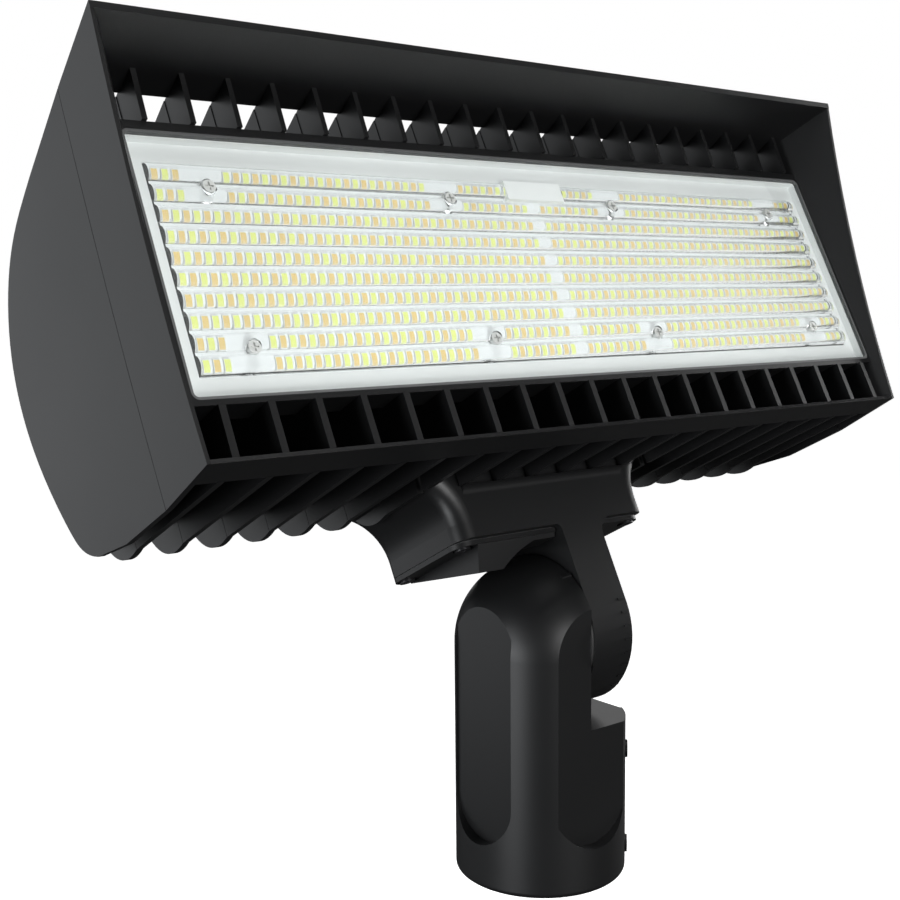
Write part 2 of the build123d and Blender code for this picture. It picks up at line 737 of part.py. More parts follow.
# Clear sheet with one half-round ridge over every row of chips
with BuildPart() as lens_sheet:
    lens_low = -LENS_HEIGHT / 2
    with BuildSketch(Plane.YZ):
        with BuildLine():
            Line((LENS_BACK, lens_low), (LENS_FACE, lens_low))
            for ridge in range(ROWS):
                base = lens_low + ROW_PITCH * ridge
                Line((LENS_FACE, base), (LENS_FACE, base + 0.5))
                ThreePointArc(
                    (LENS_FACE, base + 0.5),
                    (LENS_FACE - RIDGE_RISE, base + ROW_PITCH / 2),
                    (LENS_FACE, base + ROW_PITCH - 0.5),
                )
                Line((LENS_FACE, base + ROW_PITCH - 0.5), (LENS_FACE, base + ROW_PITCH))
            Line((LENS_FACE, -lens_low), (LENS_BACK, -lens_low))
            Line((LENS_BACK, -lens_low), (LENS_BACK, lens_low))
        make_face()
    extrude(amount=LENS_HALF, both=True)
    # Rim that stands on the board
    with BuildSketch(Plane.XZ.offset(-LENS_BACK)):
        Rectangle(2 * LENS_HALF, LENS_HEIGHT)
        Rectangle(2 * LENS_HALF - 3.0, LENS_HEIGHT - 2.0, mode=Mode.SUBTRACT)
    extrude(amount=LENS_BACK - BOARD_FRONT)
    for hole_x in LENS_SCREW_X:
        for hole_z in (-LENS_SCREW_Z, LENS_SCREW_Z):
            add(rod(hole_x, hole_z, LENS_BOSS, LENS_BACK - 0.1, BOARD_FRONT))
            add(rod(hole_x, hole_z, LENS_BOSS + 0.2, LENS_FACE - 4, LENS_FACE), mode=Mode.SUBTRACT)
            add(rod(hole_x, hole_z, 1.8, -5, 5), mode=Mode.SUBTRACT)
    add(
        block(-CONNECTOR[0] / 2 - 0.5, CONNECTOR[0] / 2 + 0.5, -5, 5, CONNECTOR_Z - 6.8, 60),
        mode=Mode.SUBTRACT,
    )
save(lens_sheet.part, "lens_sheet")

with BuildPart() as lens_screws:
    for hole_x in LENS_SCREW_X:
        for hole_z in (-LENS_SCREW_Z, LENS_SCREW_Z):
            add(rod(hole_x, hole_z, 1.58, LENS_FACE - 0.1, CHAMBER_FLOOR + 5.5))
            add(rod(hole_x, hole_z, LENS_SCREW_HEAD, LENS_FACE - 1.8, LENS_FACE))
            for half_x, half_z in ((1.7, 0.35), (0.35, 1.7)):
                slot = block(
                    hole_x - half_x,
                    hole_x + half_x,
                    -3,
                    LENS_FACE - 0.9,
                    hole_z - half_z,
                    hole_z + half_z,
                )
                add(slot, mode=Mode.SUBTRACT)
save(lens_screws.part, "lens_screws")

with BuildPart() as connector_cover:
    cover_x, cover_y, cover_z = CONNECTOR
    add(
        block(
            -cover_x / 2,
            cover_x / 2,
            BOARD_FRONT - 0.2 - cover_y - 1.5,
            BOARD_FRONT,
            CONNECTOR_Z - cover_z / 2,
            CONNECTOR_Z + cover_z / 2 - 4.0,
        )
    )
    add(
        block(
            1.2 - cover_x / 2,
            cover_x / 2 - 1.2,
            BOARD_FRONT - 0.2 - cover_y,
            BOARD_FRONT + 1,
            CONNECTOR_Z - cover_z / 2 + 1.2,
            CONNECTOR_Z + cover_z / 2 - 5.2,
        ),
        mode=Mode.SUBTRACT,
    )
save(connector_cover.part, "connector_cover")

# White reflector tray around the light engine

with BuildPart() as reflector_frame:
    middle_z = (CHAMBER_TOP + CHAMBER_BOTTOM) / 2
    half_z = (CHAMBER_TOP - CHAMBER_BOTTOM) / 2
    with BuildSketch(Plane.XZ.offset(-GLASS_REAR)):
        with Locations((0, middle_z)):
            RectangleRounded(2 * CHAMBER_HALF - 0.6, 2 * half_z - 0.6, CHAMBER_CORNER - 0.3)
    extrude(amount=-(1.6 - GLASS_REAR))
    with BuildSketch(Plane.XZ.offset(-GLASS_REAR + 1)) as mouth:
        with Locations((0, middle_z)):
            RectangleRounded(2 * CHAMBER_HALF - 2.8, 2 * half_z - 2.8, CHAMBER_CORNER - 1.4)
    extrude(amount=-(0.4 - GLASS_REAR + 1), taper=7, mode=Mode.SUBTRACT)
    add(
        block(-LENS_HALF - 0.4, LENS_HALF + 0.4, -10, 10, -LENS_HEIGHT / 2 - 0.4, LENS_HEIGHT / 2 + 0.4),
        mode=Mode.SUBTRACT,
    )
save(reflector_frame.part, "reflector_frame")


def chamber_ring(y0, y1, outer_inset, inner_inset):
    """Rounded ring or plate that follows the chamber's mouth."""
    with BuildPart() as piece:
        with BuildSketch(Plane.XZ.offset(-y0)):
            with Locations((0, middle_z)):
                RectangleRounded(
                    2 * (CHAMBER_HALF - outer_inset),
                    2 * (half_z - outer_inset),
                    CHAMBER_CORNER - outer_inset,
                )
                if inner_inset:
                    RectangleRounded(
                        2 * (CHAMBER_HALF - inner_inset),
                        2 * (half_z - inner_inset),
                        CHAMBER_CORNER - inner_inset,
                        mode=Mode.SUBTRACT,
                    )
        extrude(amount=-(y1 - y0))
    return piece.part


save(chamber_ring(GLASS_FRONT, GLASS_REAR, 0.02, SEAL_WIDTH), "glass_seal")
save(chamber_ring(GLASS_FRONT, GLASS_REAR, SEAL_WIDTH, 0), "glass_cover")

# Inside the driver box

DRIVER_CASE = (92.0, 64.0, 95.0, -35.0, 3.0)
with BuildPart() as driver:
    add(block(-DRIVER_CASE[0], DRIVER_CASE[0], *DRIVER_CASE[1:]))
    for side in (-1, 1):
        add(block(side * 96 - 8, side * 96 + 8, 62.0, 64.0, -30.0, -3.0))
        add(rod(side * 99, -16.5, 2.1, 60, 70), mode=Mode.SUBTRACT)
save(driver.part, "driver")

with BuildPart() as driver_screws:
    for side in (-1, 1):
        add(rod(side * 99, -16.5, 1.98, 60.0, 64.0))
        add(rod(side * 99, -16.5, 3.6, 64.0, 66.4))
        add(rod(side * 99, -16.5, 1.2, 65.0, 67.0), mode=Mode.SUBTRACT)
save(driver_screws.part, "driver_screws")

with BuildPart() as led_leads:
    for side in (-1, 1):
        start = Vector(side * 2.0, 1.0, LEAD_START[1])
        corner = Vector(side * 2.0, LEAD_START[0], LEAD_START[1])
        exit_point = Vector(side * 2.0, 63.0, LEAD_END[1] - 1.6)
        last = Vector(side * 2.0, 64.5, LEAD_END[1] - 1.6)
        with BuildLine() as lead_path:
            FilletPolyline(start, corner, exit_point, last, radius=0.7)
        with BuildSketch(Plane(start, x_dir=(1, 0, 0), z_dir=(0, 1, 0))):
            Circle(1.1)
        sweep(path=lead_path.line)
    add(block(-DRIVER_CASE[0], DRIVER_CASE[0], *DRIVER_CASE[1:]), mode=Mode.SUBTRACT)
save(led_leads.part, "led_leads")

with BuildPart() as lead_seal:
    add(lead_tube(FIN_PITCH / 2 - 1.0, 12.0))
    add(lead_tube(LEAD_BORE + 0.4, 14.0), mode=Mode.SUBTRACT)
    add(block(-12, 12, DUCT_END, DUCT_END + 0.8, -20, 60), mode=Mode.INTERSECT)
save(lead_seal.part, "lead_seal")


def rear_ring(y0, y1, outset_in, outset_out):
    """Rectangular ring on the driver box's rear rim."""
    width = 2 * DRIVER_HALF
    height = DRIVER_TOP - DRIVER_BOTTOM
    with BuildPart() as piece:
        with BuildSketch(Plane.XZ.offset(-y0)):
            with Locations((0, (DRIVER_TOP + DRIVER_BOTTOM) / 2)):
                Rectangle(width - 2 * outset_out, height - 2 * outset_out)
                Rectangle(width - 2 * outset_in, height - 2 * outset_in, mode=Mode.SUBTRACT)
        extrude(amount=-(y1 - y0))
    return piece.part


GASKET = 0.8
COVER_REAR = DRIVER_REAR + GASKET + 3.0
VENT_X = 70.0
VENT_Z = -16.0
save(rear_ring(DRIVER_REAR, DRIVER_REAR + GASKET, 2.8, 0.8), "driver_cover_gasket")
with BuildPart() as driver_cover:
    add(
        block(
            -DRIVER_HALF,
            DRIVER_HALF,
            DRIVER_REAR + GASKET,
            COVER_REAR,
            DRIVER_BOTTOM,
            DRIVER_TOP,
        )
    )
    fillet(driver_cover.edges().filter_by(Axis.Y), radius=5)
    chamfer(driver_cover.faces().sort_by(Axis.Y)[-1].edges(), length=0.8)
    for post_x in DRIVER_SCREW_X:
        for post_z in DRIVER_SCREW_Z:
            add(rod(post_x, post_z, 2.2, DRIVER_REAR, COVER_REAR + 1), mode=Mode.SUBTRACT)
    add(rod(VENT_X, VENT_Z, 6.0, DRIVER_REAR, COVER_REAR + 1), mode=Mode.SUBTRACT)
save(driver_cover.part, "driver_cover")


def hex_socket_screw(x, z, y_head, shank, head_radius, shank_length, socket):
    """Round-headed screw along Y, its head standing on the plane y_head."""
    head = 2 * head_radius * 0.55
    with BuildPart() as piece:
        add(rod(x, z, shank, y_head - shank_length, y_head + 0.1))
        add(rod(x, z, head_radius, y_head, y_head + head))
        with BuildSketch(Plane.XZ.offset(-(y_head + head))):
            with Locations((x, z)):
                RegularPolygon(socket, 6)
        extrude(amount=head * 0.6, mode=Mode.SUBTRACT)
    return piece.part


with BuildPart() as driver_cover_screws:
    for post_x in DRIVER_SCREW_X:
        for post_z in DRIVER_SCREW_Z:
            add(hex_socket_screw(post_x, post_z, COVER_REAR, 1.78, 3.6, 14.0, 1.6))
save(driver_cover_screws.part, "driver_cover_screws")

with BuildPart() as vent_plug:
    add(rod(VENT_X, VENT_Z, 5.95, DRIVER_REAR - 5.0, COVER_REAR))
    add(rod(VENT_X, VENT_Z, 9.0, COVER_REAR, COVER_REAR + 3.4))
    add(rod(VENT_X, VENT_Z, 5.5, COVER_REAR + 2.6, COVER_REAR + 4), mode=Mode.SUBTRACT)
    add(rod(VENT_X, VENT_Z, 3.0, DRIVER_REAR - 6.0, COVER_REAR + 1.4), mode=Mode.SUBTRACT)
save(vent_plug.part, "vent_plug")

with BuildPart() as housing_screws:
    for post_x in BOSS_X:
        for post_z in BOSS_Z:
            add(hex_socket_screw(post_x, post_z, WEB_REAR, 2.48, 4.25, 22.0, 2.3))
    for post_x in TOP_BOSS_X:
        add(hex_socket_screw(post_x, TOP_BOSS_Z, WEB_REAR, 2.48, 4.25, 22.0, 2.3))
save(housing_screws.part, "housing_screws")

# Inside the wiring box

with BuildPart() as box_grommet:
    with BuildSketch(Plane.XY.offset(POD_ROOF - 1.6)):
        with Locations((PASS_X, PASS_Y)):
            Circle(PASS_RADIUS + 2.2)
    extrude(amount=1.6)
    with BuildSketch(Plane.XY.offset(POD_ROOF)):
        with Locations((PASS_X, PASS_Y)):
            Circle(PASS_RADIUS - 0.02)
    extrude(amount=7.0)
    with BuildSketch(Plane.XY.offset(POD_ROOF - 2)):
        with Locations((PASS_X, PASS_Y)):
            Circle(PASS_RADIUS - 2.0)
    extrude(amount=10.0, mode=Mode.SUBTRACT)
save(box_grommet.part, "box_grommet")

save(block(-50.0, -30.0, 63.0, 74.0, -76.0, POD_ROOF), "surge_protector")

with BuildPart() as terminal_block:
    add(block(31.0, 50.0, 66.0, 96.0, -66.0, POD_ROOF))
    for terminal in range(3):
        spot_y = 71.0 + 10.0 * terminal
        with BuildSketch(Plane.XY.offset(-66.0)):
            with Locations((36.0, spot_y), (45.0, spot_y)):
                Circle(2.4)
        extrude(amount=6.0, mode=Mode.SUBTRACT)
save(terminal_block.part, "terminal_block")

with BuildPart() as ground_screw:
    with BuildSketch(Plane.XY.offset(-86.0)):
        with Locations((ARM_MIDDLE + 4, 80.0)):
            RegularPolygon(4.2, 6)
    extrude(amount=3.2)
save(ground_screw.part, "ground_screw")

# Wiring cover with its block beside the arm

COVER_FRONT = POD_FRONT + 3.6
COVER_GASKET = 0.4
COVER_TOP = POD_BOTTOM - COVER_GASKET
COVER_UNDER = COVER_TOP - 2.0
COVER_BLOCK_LEFT = -45.2
COVER_SCREW_RECESS = 4.4
NOTCH_LEFT = ARM_LEFT - 0.8
NOTCH_RIGHT = ARM_RIGHT + 0.8
NOTCH_REAR = 98.6


def cover_outline(inset):
    """Outline of the wiring cover, drawn in by the inset, as a sketch at z = 0."""
    with BuildSketch(Plane.XY) as outline:
        with Locations((0, (COVER_FRONT + POD_REAR) / 2)):
            RectangleRounded(
                2 * (POD_HALF - inset),
                POD_REAR - COVER_FRONT - 2 * inset,
                POD_CORNER - inset,
            )
        with Locations(((NOTCH_LEFT + NOTCH_RIGHT) / 2, COVER_FRONT)):
            Rectangle(
                NOTCH_RIGHT - NOTCH_LEFT + 2 * inset,
                2 * (NOTCH_REAR - COVER_FRONT + inset),
                mode=Mode.SUBTRACT,
            )
    return outline.sketch


with BuildPart() as wiring_cover_gasket:
    with BuildSketch(Plane.XY.offset(COVER_TOP)):
        add(cover_outline(1.0))
        add(cover_outline(2.6), mode=Mode.SUBTRACT)
    extrude(amount=COVER_GASKET)
save(wiring_cover_gasket.part, "wiring_cover_gasket")

with BuildPart() as cover_relief:
    with Locations((0, HINGE_Y, HINGE_Z)):
        Sphere(RELIEF_RADIUS)
    add(block(-60, -0.4, 20, 140, -200, -104.4), mode=Mode.INTERSECT)
    with Locations((0, HINGE_Y, HINGE_Z)):
        Sphere(EAR_RADIUS + 1.0)
    add(block(-60, NOTCH_LEFT, 20, 140, -200, -90), mode=Mode.INTERSECT)

# Dome over the ear, bulging into the wiring box
with BuildPart() as dome:
    with Locations((0, HINGE_Y, HINGE_Z)):
        Sphere(EAR_RADIUS + 3.5)
    add(block(-20, PLUG_LEFT - 0.3, 60, 110, COVER_TOP - 1, -90), mode=Mode.INTERSECT)

with BuildPart() as wiring_cover:
    with BuildSketch(Plane.XY.offset(COVER_UNDER)):
        add(cover_outline(0.0))
    extrude(amount=COVER_TOP - COVER_UNDER)
    block_outline = [
        (COVER_FRONT + 0.4, COVER_UNDER + 0.5),
        (COVER_FRONT + 0.8, COVER_UNDER),
        (COVER_FRONT + 5.8, -113.8),
        (POD_REAR - 2.0, COVER_UNDER - 0.8),
        (POD_REAR - 2.0, COVER_UNDER + 0.5),
    ]
    add(
        slab(
            block_outline,
            (NOTCH_LEFT - COVER_BLOCK_LEFT) / 2,
            (NOTCH_LEFT + COVER_BLOCK_LEFT) / 2,
        )
    )
    add(dome.part)
    add(cover_relief.part, mode=Mode.SUBTRACT)
    for post_x in (-WIRING_SCREW_X, WIRING_SCREW_X):
        for post_y in WIRING_SCREW_Y:
            with BuildSketch(Plane.XY.offset(COVER_UNDER - 1)):
                with Locations((post_x, post_y)):
                    Circle(2.2)
            extrude(amount=6, mode=Mode.SUBTRACT)
            with BuildSketch(Plane.XY.offset(COVER_UNDER + 1)):
                with Locations((post_x, post_y)):
                    Circle(COVER_SCREW_RECESS)
            extrude(amount=-2, mode=Mode.SUBTRACT)
save(wiring_cover.part, "wiring_cover")

with BuildPart() as wiring_cover_screws:
    for post_x in (-WIRING_SCREW_X, WIRING_SCREW_X):
        for post_y in WIRING_SCREW_Y:
            with BuildSketch(Plane.XY.offset(COVER_UNDER + 1)):
                with Locations((post_x, post_y)):
                    Circle(1.78)
            extrude(amount=13.0)
            with BuildSketch(Plane.XY.offset(COVER_UNDER + 1)):
                with Locations((post_x, post_y)):
                    Circle(3.6)
            extrude(amount=-1.8)
            with BuildSketch(Plane.XY.offset(COVER_UNDER - 0.8)):
                with Locations((post_x, post_y)):
                    RegularPolygon(1.7, 6)
            extrude(amount=1.2, mode=Mode.SUBTRACT)
save(wiring_cover_screws.part, "wiring_cover_screws")

# Slipfitter, drawn in the part's own frame

UPRIGHT = Location()


def upright_rod(radius, x0, x1, y=0.0, z=HINGE_HEIGHT):
    """Round bar along X in the part's own frame."""
    with BuildPart() as piece:
        with BuildSketch(Plane.YZ.offset(x0)):
            with Locations((y, z)):
                Circle(radius)
        extrude(amount=x1 - x0)
    return piece.part


def set_screw_plane(azimuth, height, reach):
    """Plane across a set screw, at the given distance from the tenon's axis."""
    axis = Vector(1, 0, 0).rotate(Axis.Z, azimuth)
    return Plane(axis * reach + Vector(0, 0, height), x_dir=(0, 0, 1), z_dir=axis)


# Pointer beside the drum
with BuildPart() as pointer:
    with Locations((0, 0, EAR_CENTRE)):
        Sphere(EAR_RADIUS + 0.6)
    add(block(-6.0, EAR_FACE, -21.0, -19.6, 120, 160), mode=Mode.INTERSECT)

with BuildPart() as slipfitter:
    with BuildSketch(Plane.XY):
        Circle(EAR_RADIUS)
    extrude(amount=EAR_CENTRE)
    with Locations((0, 0, EAR_CENTRE)):
        Sphere(EAR_RADIUS)
    # Step that makes room for the drum
    add(block(EAR_FACE, 60, -60, 60, LEDGE, 200), mode=Mode.SUBTRACT)
    # Flat facets on the four sides
    for azimuth in (0, 90, 180, 270):
        half = FACET_HALVES[1] if azimuth % 180 == 0 else FACET_HALVES[0]
        low = FACET_BOTTOM + half
        facet_axis = Vector(1, 0, 0).rotate(Axis.Z, azimuth)
        facet_plane = Plane(facet_axis * FACET_DEPTH, x_dir=(0, 0, 1), z_dir=facet_axis)
        with BuildSketch(facet_plane):
            with Locations(((low + HINGE_HEIGHT + 1) / 2, 0)):
                SlotCenterToCenter(HINGE_HEIGHT + 1 - low, 2 * half)
        extrude(amount=20, mode=Mode.SUBTRACT)
    # Bore for the tenon
    with BuildSketch(Plane.XY):
        Circle(BORE_RADIUS)
    extrude(amount=BORE_DEPTH, mode=Mode.SUBTRACT)
    mouth_edges = slipfitter.edges().filter_by(GeomType.CIRCLE).group_by(Axis.Z)[0]
    fillet(mouth_edges.sort_by(SortBy.RADIUS)[-1], radius=2.5)
    # Blind hole of the pivot bolt
    add(upright_rod(PIVOT_RADIUS, EAR_FACE - 30.0, EAR_FACE + 1), mode=Mode.SUBTRACT)
    # Wireway from the bore's roof up into the ear and out through its flat face
    with BuildSketch(Plane.XY.offset(BORE_DEPTH - 1)):
        with Locations((EAR_WAY_X, 0)):
            Circle(EAR_WAY_RADIUS)
    extrude(amount=EAR_WAY_Z - BORE_DEPTH + 7, mode=Mode.SUBTRACT)
    with BuildSketch(Plane.XY.offset(BORE_DEPTH - 1)):
        with Locations((EAR_WAY_X, 0)):
            Circle(EAR_WAY_RADIUS + 2.1)
    extrude(amount=2.6, mode=Mode.SUBTRACT)
    add(upright_rod(EAR_WAY_RADIUS - 0.5, EAR_WAY_X, EAR_FACE + 1, z=EAR_WAY_Z), mode=Mode.SUBTRACT)
    add(pointer.part)
    # Threaded holes of the set screws
    for azimuth in SET_SCREW_AZIMUTH:
        for height in SET_SCREW_Z:
            with BuildSketch(set_screw_plane(azimuth, height, BORE_RADIUS - 3)):
                Circle(SET_SCREW_RADIUS)
            extrude(amount=20, mode=Mode.SUBTRACT)
save(slipfitter.part, "slipfitter", UPRIGHT)

with BuildPart() as set_screws:
    for azimuth in SET_SCREW_AZIMUTH:
        for height in SET_SCREW_Z:
            with BuildSketch(set_screw_plane(azimuth, height, BORE_RADIUS + 0.4)):
                Circle(SET_SCREW_RADIUS - 0.02)
            extrude(amount=SET_SCREW_LENGTH)
            with BuildSketch(set_screw_plane(azimuth, height, BORE_RADIUS + 0.4 + SET_SCREW_LENGTH)):
                RegularPolygon(2.3, 6)
            extrude(amount=-4.0, mode=Mode.SUBTRACT)
save(set_screws.part, "set_screws", UPRIGHT)

GROMMET_BOTTOM = BORE_DEPTH + 0.2
GROMMET_FLANGE = 1.4
with BuildPart() as wire_grommet:
    with BuildSketch(Plane.XY.offset(GROMMET_BOTTOM)):
        with Locations((EAR_WAY_X, 0)):
            Circle(EAR_WAY_RADIUS + 2.08)
            Circle(4.4, mode=Mode.SUBTRACT)
    extrude(amount=GROMMET_FLANGE)
    with BuildSketch(Plane.XY.offset(GROMMET_BOTTOM + GROMMET_FLANGE)):
        with Locations((EAR_WAY_X, 0)):
            Circle(EAR_WAY_RADIUS - 0.02)
            Circle(4.4, mode=Mode.SUBTRACT)
    extrude(amount=5.0)
save(wire_grommet.part, "wire_grommet", UPRIGHT)

with BuildPart() as friction_washer:
    add(upright_rod(DRUM_RADIUS - 1.0, EAR_FACE, ARM_LEFT))
    add(upright_rod(GROOVE[1] + 0.5, EAR_FACE - 1, ARM_LEFT + 1), mode=Mode.SUBTRACT)
save(friction_washer.part, "friction_washer", UPRIGHT)

with BuildPart() as pivot_washer:
    add(upright_rod(12.0, ARM_RIGHT, ARM_RIGHT + 2.4))
    add(upright_rod(PIVOT_RADIUS + 0.3, ARM_RIGHT - 1, ARM_RIGHT + 3), mode=Mode.SUBTRACT)
save(pivot_washer.part, "pivot_washer", UPRIGHT)

with BuildPart() as pivot_bolt:
    add(upright_rod(PIVOT_RADIUS - 0.02, EAR_FACE - 26.0, EAR_FACE + 0.5))
    add(upright_rod(PIVOT_RADIUS, EAR_FACE + 0.4, ARM_RIGHT + 2.5))
    with BuildSketch(Plane.YZ.offset(ARM_RIGHT + 2.4)):
        with Locations((0, HINGE_HEIGHT)):
            RegularPolygon(10.4, 6)
    extrude(amount=7.5)
save(pivot_bolt.part, "pivot_bolt", UPRIGHT)
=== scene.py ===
"""Slipfitter floodlight: finishes, light engine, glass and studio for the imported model."""

from math import asin, cos, radians, sin

import bmesh
import bpy
from mathutils import Matrix, Vector


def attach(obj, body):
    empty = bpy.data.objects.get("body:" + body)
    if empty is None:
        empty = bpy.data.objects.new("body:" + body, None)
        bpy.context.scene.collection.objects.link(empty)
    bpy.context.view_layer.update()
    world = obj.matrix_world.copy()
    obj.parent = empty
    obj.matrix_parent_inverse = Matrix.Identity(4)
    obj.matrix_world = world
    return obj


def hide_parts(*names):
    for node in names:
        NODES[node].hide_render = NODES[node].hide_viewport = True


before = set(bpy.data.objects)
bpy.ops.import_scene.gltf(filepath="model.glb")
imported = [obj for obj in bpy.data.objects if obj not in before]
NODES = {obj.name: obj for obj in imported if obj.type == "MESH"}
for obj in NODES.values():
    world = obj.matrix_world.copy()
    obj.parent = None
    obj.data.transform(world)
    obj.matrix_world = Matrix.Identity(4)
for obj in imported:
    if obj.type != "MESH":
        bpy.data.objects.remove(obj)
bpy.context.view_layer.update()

bl_info = {
    "name": "Slipfitter floodlight",
    "version": (1, 0, 0),
    "blender": (4, 5, 0),
    "location": "View3D > Sidebar > Floodlight",
    "description": "Dresses a finned floodlight head, its light engine and its studio",
    "category": "Object",
}

MM = 0.001

# The head's own frame: its origin is in the middle of the lens sheet and light leaves towards -Y.
# The hinge is at HINGE_HEIGHT in the part's frame and at HINGE_Y, HINGE_Z in this one.
TILT = radians(27.0)
HINGE_HEIGHT = 109.8 * MM
HINGE_Y = 82.3 * MM
HINGE_Z = -140.1 * MM
HEAD = (
    Matrix.Translation((0, 0, HINGE_HEIGHT))
    @ Matrix.Rotation(-TILT, 4, "X")
    @ Matrix.Translation((0, -HINGE_Y, -HINGE_Z))
)

# Lens sheet and board, in the head's frame. RIDGE_GAP is the flat on each side of a ridge,
# and edges that turn by more than SMOOTH_ANGLE are shaded sharp.
LENS_HALF = 184.4 * MM
LENS_HEIGHT = 83.9 * MM
LENS_FACE = -0.3 * MM
LENS_BACK = 1.0 * MM
ROWS = 10
ROW_PITCH = LENS_HEIGHT / ROWS
RIDGE_GAP = 0.5 * MM
BOARD_FRONT = 1.9 * MM
SMOOTH_ANGLE = radians(30)

# Chips: side, count and pitch of each half row, which starts at OUTER_CHIP_X. CHIP_RIM is the
# package's rim round the phosphor, and a face whose normal has more than FRONT_SHARE along the
# light is a chip's front.
OUTER_CHIP_X = 181.0 * MM
CHIP_RUNS = ((-1, 43, 4.142 * MM), (1, 44, 4.126 * MM))
CHIP_RIM = 0.2 * MM
FRONT_SHARE = 0.9

# Screws of the lens sheet: the pocket for each head, the hole through, and the room free of chips
LENS_SCREWS_X = tuple(x * MM for x in (-161.5, -49.0, 47.0, 161.5))
LENS_SCREW_Z = 32.3 * MM
POCKET_RADIUS = 3.2 * MM
POCKET_FRONT = -6.0 * MM
HOLE_RADIUS = 1.8 * MM
HOLE_REACH = 5.0 * MM
HOLE_SEGMENTS = 40
SCREW_CLEAR_X = 8.0 * MM
SCREW_CLEAR_Z = 6.5 * MM

# Connector cover: the notch for it in the lens sheet, and the room free of chips
CONNECTOR_Z = 39.5 * MM
NOTCH_HALF = 17.0 * MM
NOTCH_DEPTH = 10.0 * MM
NOTCH_HEIGHT = 20.0 * MM
NOTCH_BELOW = 6.8 * MM
CONNECTOR_CLEAR_X = 19.0 * MM
CONNECTOR_CLEAR_Z = 6.0 * MM

# Grain of the finishes: noise scales per metre, swings about the noise's middle, and the bump
NOISE_MIDDLE = 0.5
FINE_GRAIN = 900.0
MOTTLE = 14.0
ROUGHNESS_SWING = 0.08
COLOUR_SWING = 0.15
PHOSPHOR_GRAIN = 3000.0
PHOSPHOR_BUMP = 0.1
BUMP_STRENGTH = 0.04
BUMP_DISTANCE = 0.1 * MM

# Lamps: name, place, size, power in watts and colour of each, all aimed at LAMP_TARGET.
# The engine fill lights only the pieces named here, so the castings stay dark.
LAMP_TARGET = (0.0, 0.0, 0.22)
COOL = (0.95, 0.975, 1.0)
NEUTRAL = (1.0, 1.0, 1.0)
LAMPS = (
    ("left", (-2.19, 0.0, 0.34), 1.2, 16.0, COOL),
    ("left low", (-2.0, -0.5, -0.25), 1.0, 14.0, COOL),
    ("left behind", (-1.38, 1.71, -0.15), 2.6, 18.0, COOL),
    ("front", (0.0, -2.18, 0.48), 1.2, 30.0, NEUTRAL),
    ("above", (0.0, -0.22, 2.41), 1.2, 24.0, NEUTRAL),
    ("right", (2.18, 0.0, 0.55), 1.2, 34.0, NEUTRAL),
    ("right behind", (1.32, 1.72, 0.55), 1.2, 5.0, NEUTRAL),
)
ENGINE_LAMP = ("engine fill", (-0.3, -1.9, -0.15), 0.8, 17.0, NEUTRAL)
ENGINE_PIECES = ("reflector_frame", "led_board", "connector_cover", "cool_chips", "warm_chips")

# Floor: its tone as seen and as it lights the part, and a glow that grows to white outwards
FLOOR_SIZE = 30.0
SEEN_FLOOR_TONE = 0.80
UNSEEN_FLOOR_TONE = 0.04
NEAR_GLOW = 0.75
FAR_GLOW = 1.0
GLOW_START = 0.4
GLOW_END = 3.0
SENSOR_WIDTH = 36.0


class FinishSettings(bpy.types.PropertyGroup):
    """Colour and gloss of the coat, and colours of the chips."""

    coat_colour: bpy.props.FloatVectorProperty(
        name="Powder coat",
        description="Colour of the cast housings",
        subtype="COLOR",
        size=3,
        min=0.0,
        max=1.0,
        default=(0.0085, 0.0087, 0.0092),
    )
    coat_roughness: bpy.props.FloatProperty(
        name="Coat roughness",
        description="Roughness of the powder coat",
        default=0.40,
        min=0.0,
        max=1.0,
    )
    cool_chip: bpy.props.FloatVectorProperty(
        name="Cool phosphor",
        description="Colour of the cool white chips",
        subtype="COLOR",
        size=3,
        min=0.0,
        max=1.0,
        default=(0.80, 0.86, 0.22),
    )
    warm_chip: bpy.props.FloatVectorProperty(
        name="Warm phosphor",
        description="Colour of the warm white chips",
        subtype="COLOR",
        size=3,
        min=0.0,
        max=1.0,
        default=(0.80, 0.58, 0.20),
    )


class LightEngineSettings(bpy.types.PropertyGroup):
    """Sizes of the chips and of the lens sheet's ridges."""

    chip_width: bpy.props.FloatProperty(
        name="Chip width",
        description="Width of one LED chip along its row",
        default=2.8 * MM,
        unit="LENGTH",
    )
    chip_height: bpy.props.FloatProperty(
        name="Chip height",
        description="Height of one LED chip across its row",
        default=3.5 * MM,
        unit="LENGTH",
    )
    chip_rise: bpy.props.FloatProperty(
        name="Chip rise",
        description="How far a chip stands off its board",
        default=0.7 * MM,
        unit="LENGTH",
    )
    ridge_rise: bpy.props.FloatProperty(
        name="Ridge rise",
        description="Height of each ridge of the lens sheet",
        default=2.0 * MM,
        unit="LENGTH",
    )
    ridge_steps: bpy.props.IntProperty(
        name="Ridge steps",
        description="Facets round each ridge",
        default=24,
        min=4,
        max=64,
    )


